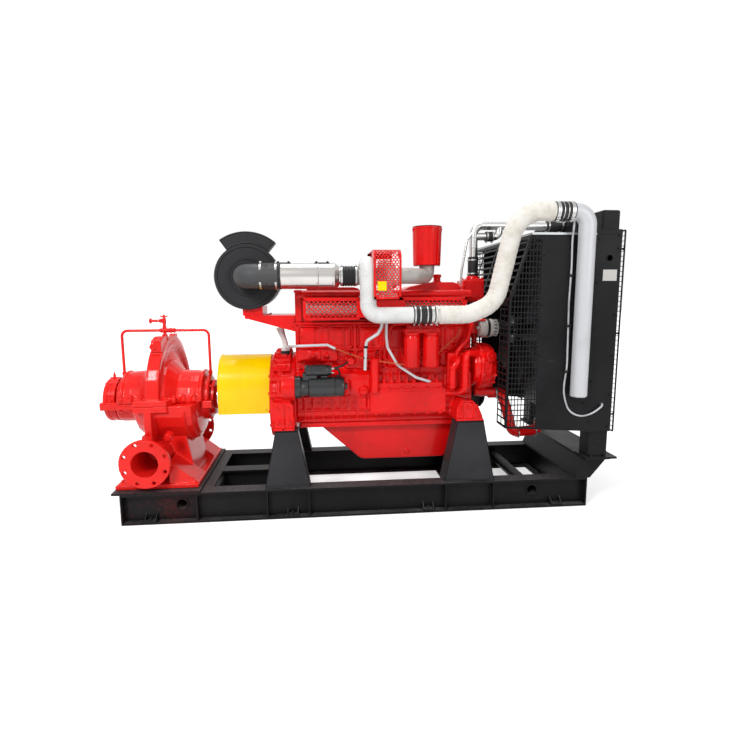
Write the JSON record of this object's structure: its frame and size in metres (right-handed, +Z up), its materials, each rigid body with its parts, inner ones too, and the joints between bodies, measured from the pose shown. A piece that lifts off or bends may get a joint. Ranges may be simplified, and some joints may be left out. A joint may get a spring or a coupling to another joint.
{
  "type": "diesel driven split case pump set",
  "caption": "Horizontal split case pump with a guarded coupling, a diesel engine and its radiator, on one steel skid.",
  "frame": {"origin": "on the skid's centre line, at the middle of the underside of the rear cross member, under the flywheel end pedestals", "axes": "+X along the skid from the pump to the radiator, +Y from the discharge side to the suction side, +Z up"},
  "size_m": [3.102, 1.0983, 1.79],
  "materials": {
    "pump_red": "glossy red paint",
    "engine_red": "glossy red paint",
    "guard_yellow": "glossy yellow paint",
    "skid_black": "satin black paint, dusty on top",
    "satin_black": "satin black paint",
    "filter_black": "matt black",
    "black_rubber": "black rubber",
    "bare_steel": "bright steel",
    "pipe_grey": "light grey paint",
    "pipe_wrap": "cream woven wrap",
    "cast_grey": "bare casting",
    "lead_grey": "grey sheath",
    "sheet_grey": "bare sheet"
  },
  "bodies": {
    "set": {"near_beam": "skid_black", "far_beam": "skid_black", "left_end_member": "skid_black", "right_end_member": "skid_black", "pump_cross_member": "skid_black", "rear_cross_member": "skid_black", "front_cross_member": "skid_black", "pump_bay_stringer": "skid_black", "left_lifting_tube": "skid_black", "right_lifting_tube": "skid_black", "pump_mounting_plate": "skid_black", "near_rear_pedestal": "skid_black", "near_front_pedestal": "skid_black", "far_rear_pedestal": "skid_black", "far_front_pedestal": "skid_black", "radiator_stand": "skid_black", "lower_casing": "pump_red", "upper_casing": "pump_red", "left_bearing_housing": "pump_red", "right_bearing_housing": "pump_red", "coupling_guard": "guard_yellow", "flush_pipe": "pump_red", "flywheel_housing": "engine_red", "engine_block": "engine_red", "cylinder_head": "engine_red", "oil_pan": "engine_red", "fuel_filters": "engine_red", "starter_motor": "satin_black", "water_pump": "engine_red", "crank_pulley": "satin_black", "alternator": "cast_grey", "thermostat_housing": "engine_red", "turbocharger": "cast_grey", "exhaust_cover": "engine_red", "manifold_shield": "engine_red", "exhaust_manifold": "cast_grey", "turbo_shield": "engine_red", "air_filter": "filter_black", "filter_bracket": "engine_red", "intake_elbow": "black_rubber", "intake_pipe": "bare_steel", "charge_pipe": "pipe_grey", "wrapped_charge_pipe": "pipe_wrap", "radiator_charge_pipe": "pipe_grey", "near_shroud_panel": "satin_black", "far_shroud_panel": "satin_black", "shroud_front": "satin_black", "shroud_top": "sheet_grey", "near_radiator_column": "satin_black", "far_radiator_column": "satin_black", "radiator_core": "sheet_grey", "top_tank": "satin_black", "rear_guard": "satin_black", "coolant_pipe": "bare_steel", "lower_coolant_hose": "engine_red", "sensor_lead": "lead_grey"},
    "drive_shaft": {"pump_shaft": "bare_steel"},
    "fan_wheel": {"fan": "satin_black"},
    "vent_handle": {"vent_cock_handle": "pump_red"}
  },
  "joints": [
    {"name": "drive_shaft_spin", "type": "hinge", "parent": "set", "child": "drive_shaft", "pos_m": [-0.446, 0, 0.66], "axis": [1, 0, 0], "continuous": true},
    {"name": "fan_spin", "type": "hinge", "parent": "set", "child": "fan_wheel", "pos_m": [1.5, 0, 1.07], "axis": [1, 0, 0], "continuous": true},
    {"name": "vent_cock_turn", "type": "hinge", "parent": "set", "child": "vent_handle", "pos_m": [-0.76, 0, 1.165], "axis": [0, 0, 1], "range_deg": [0, 90]}
  ]
}
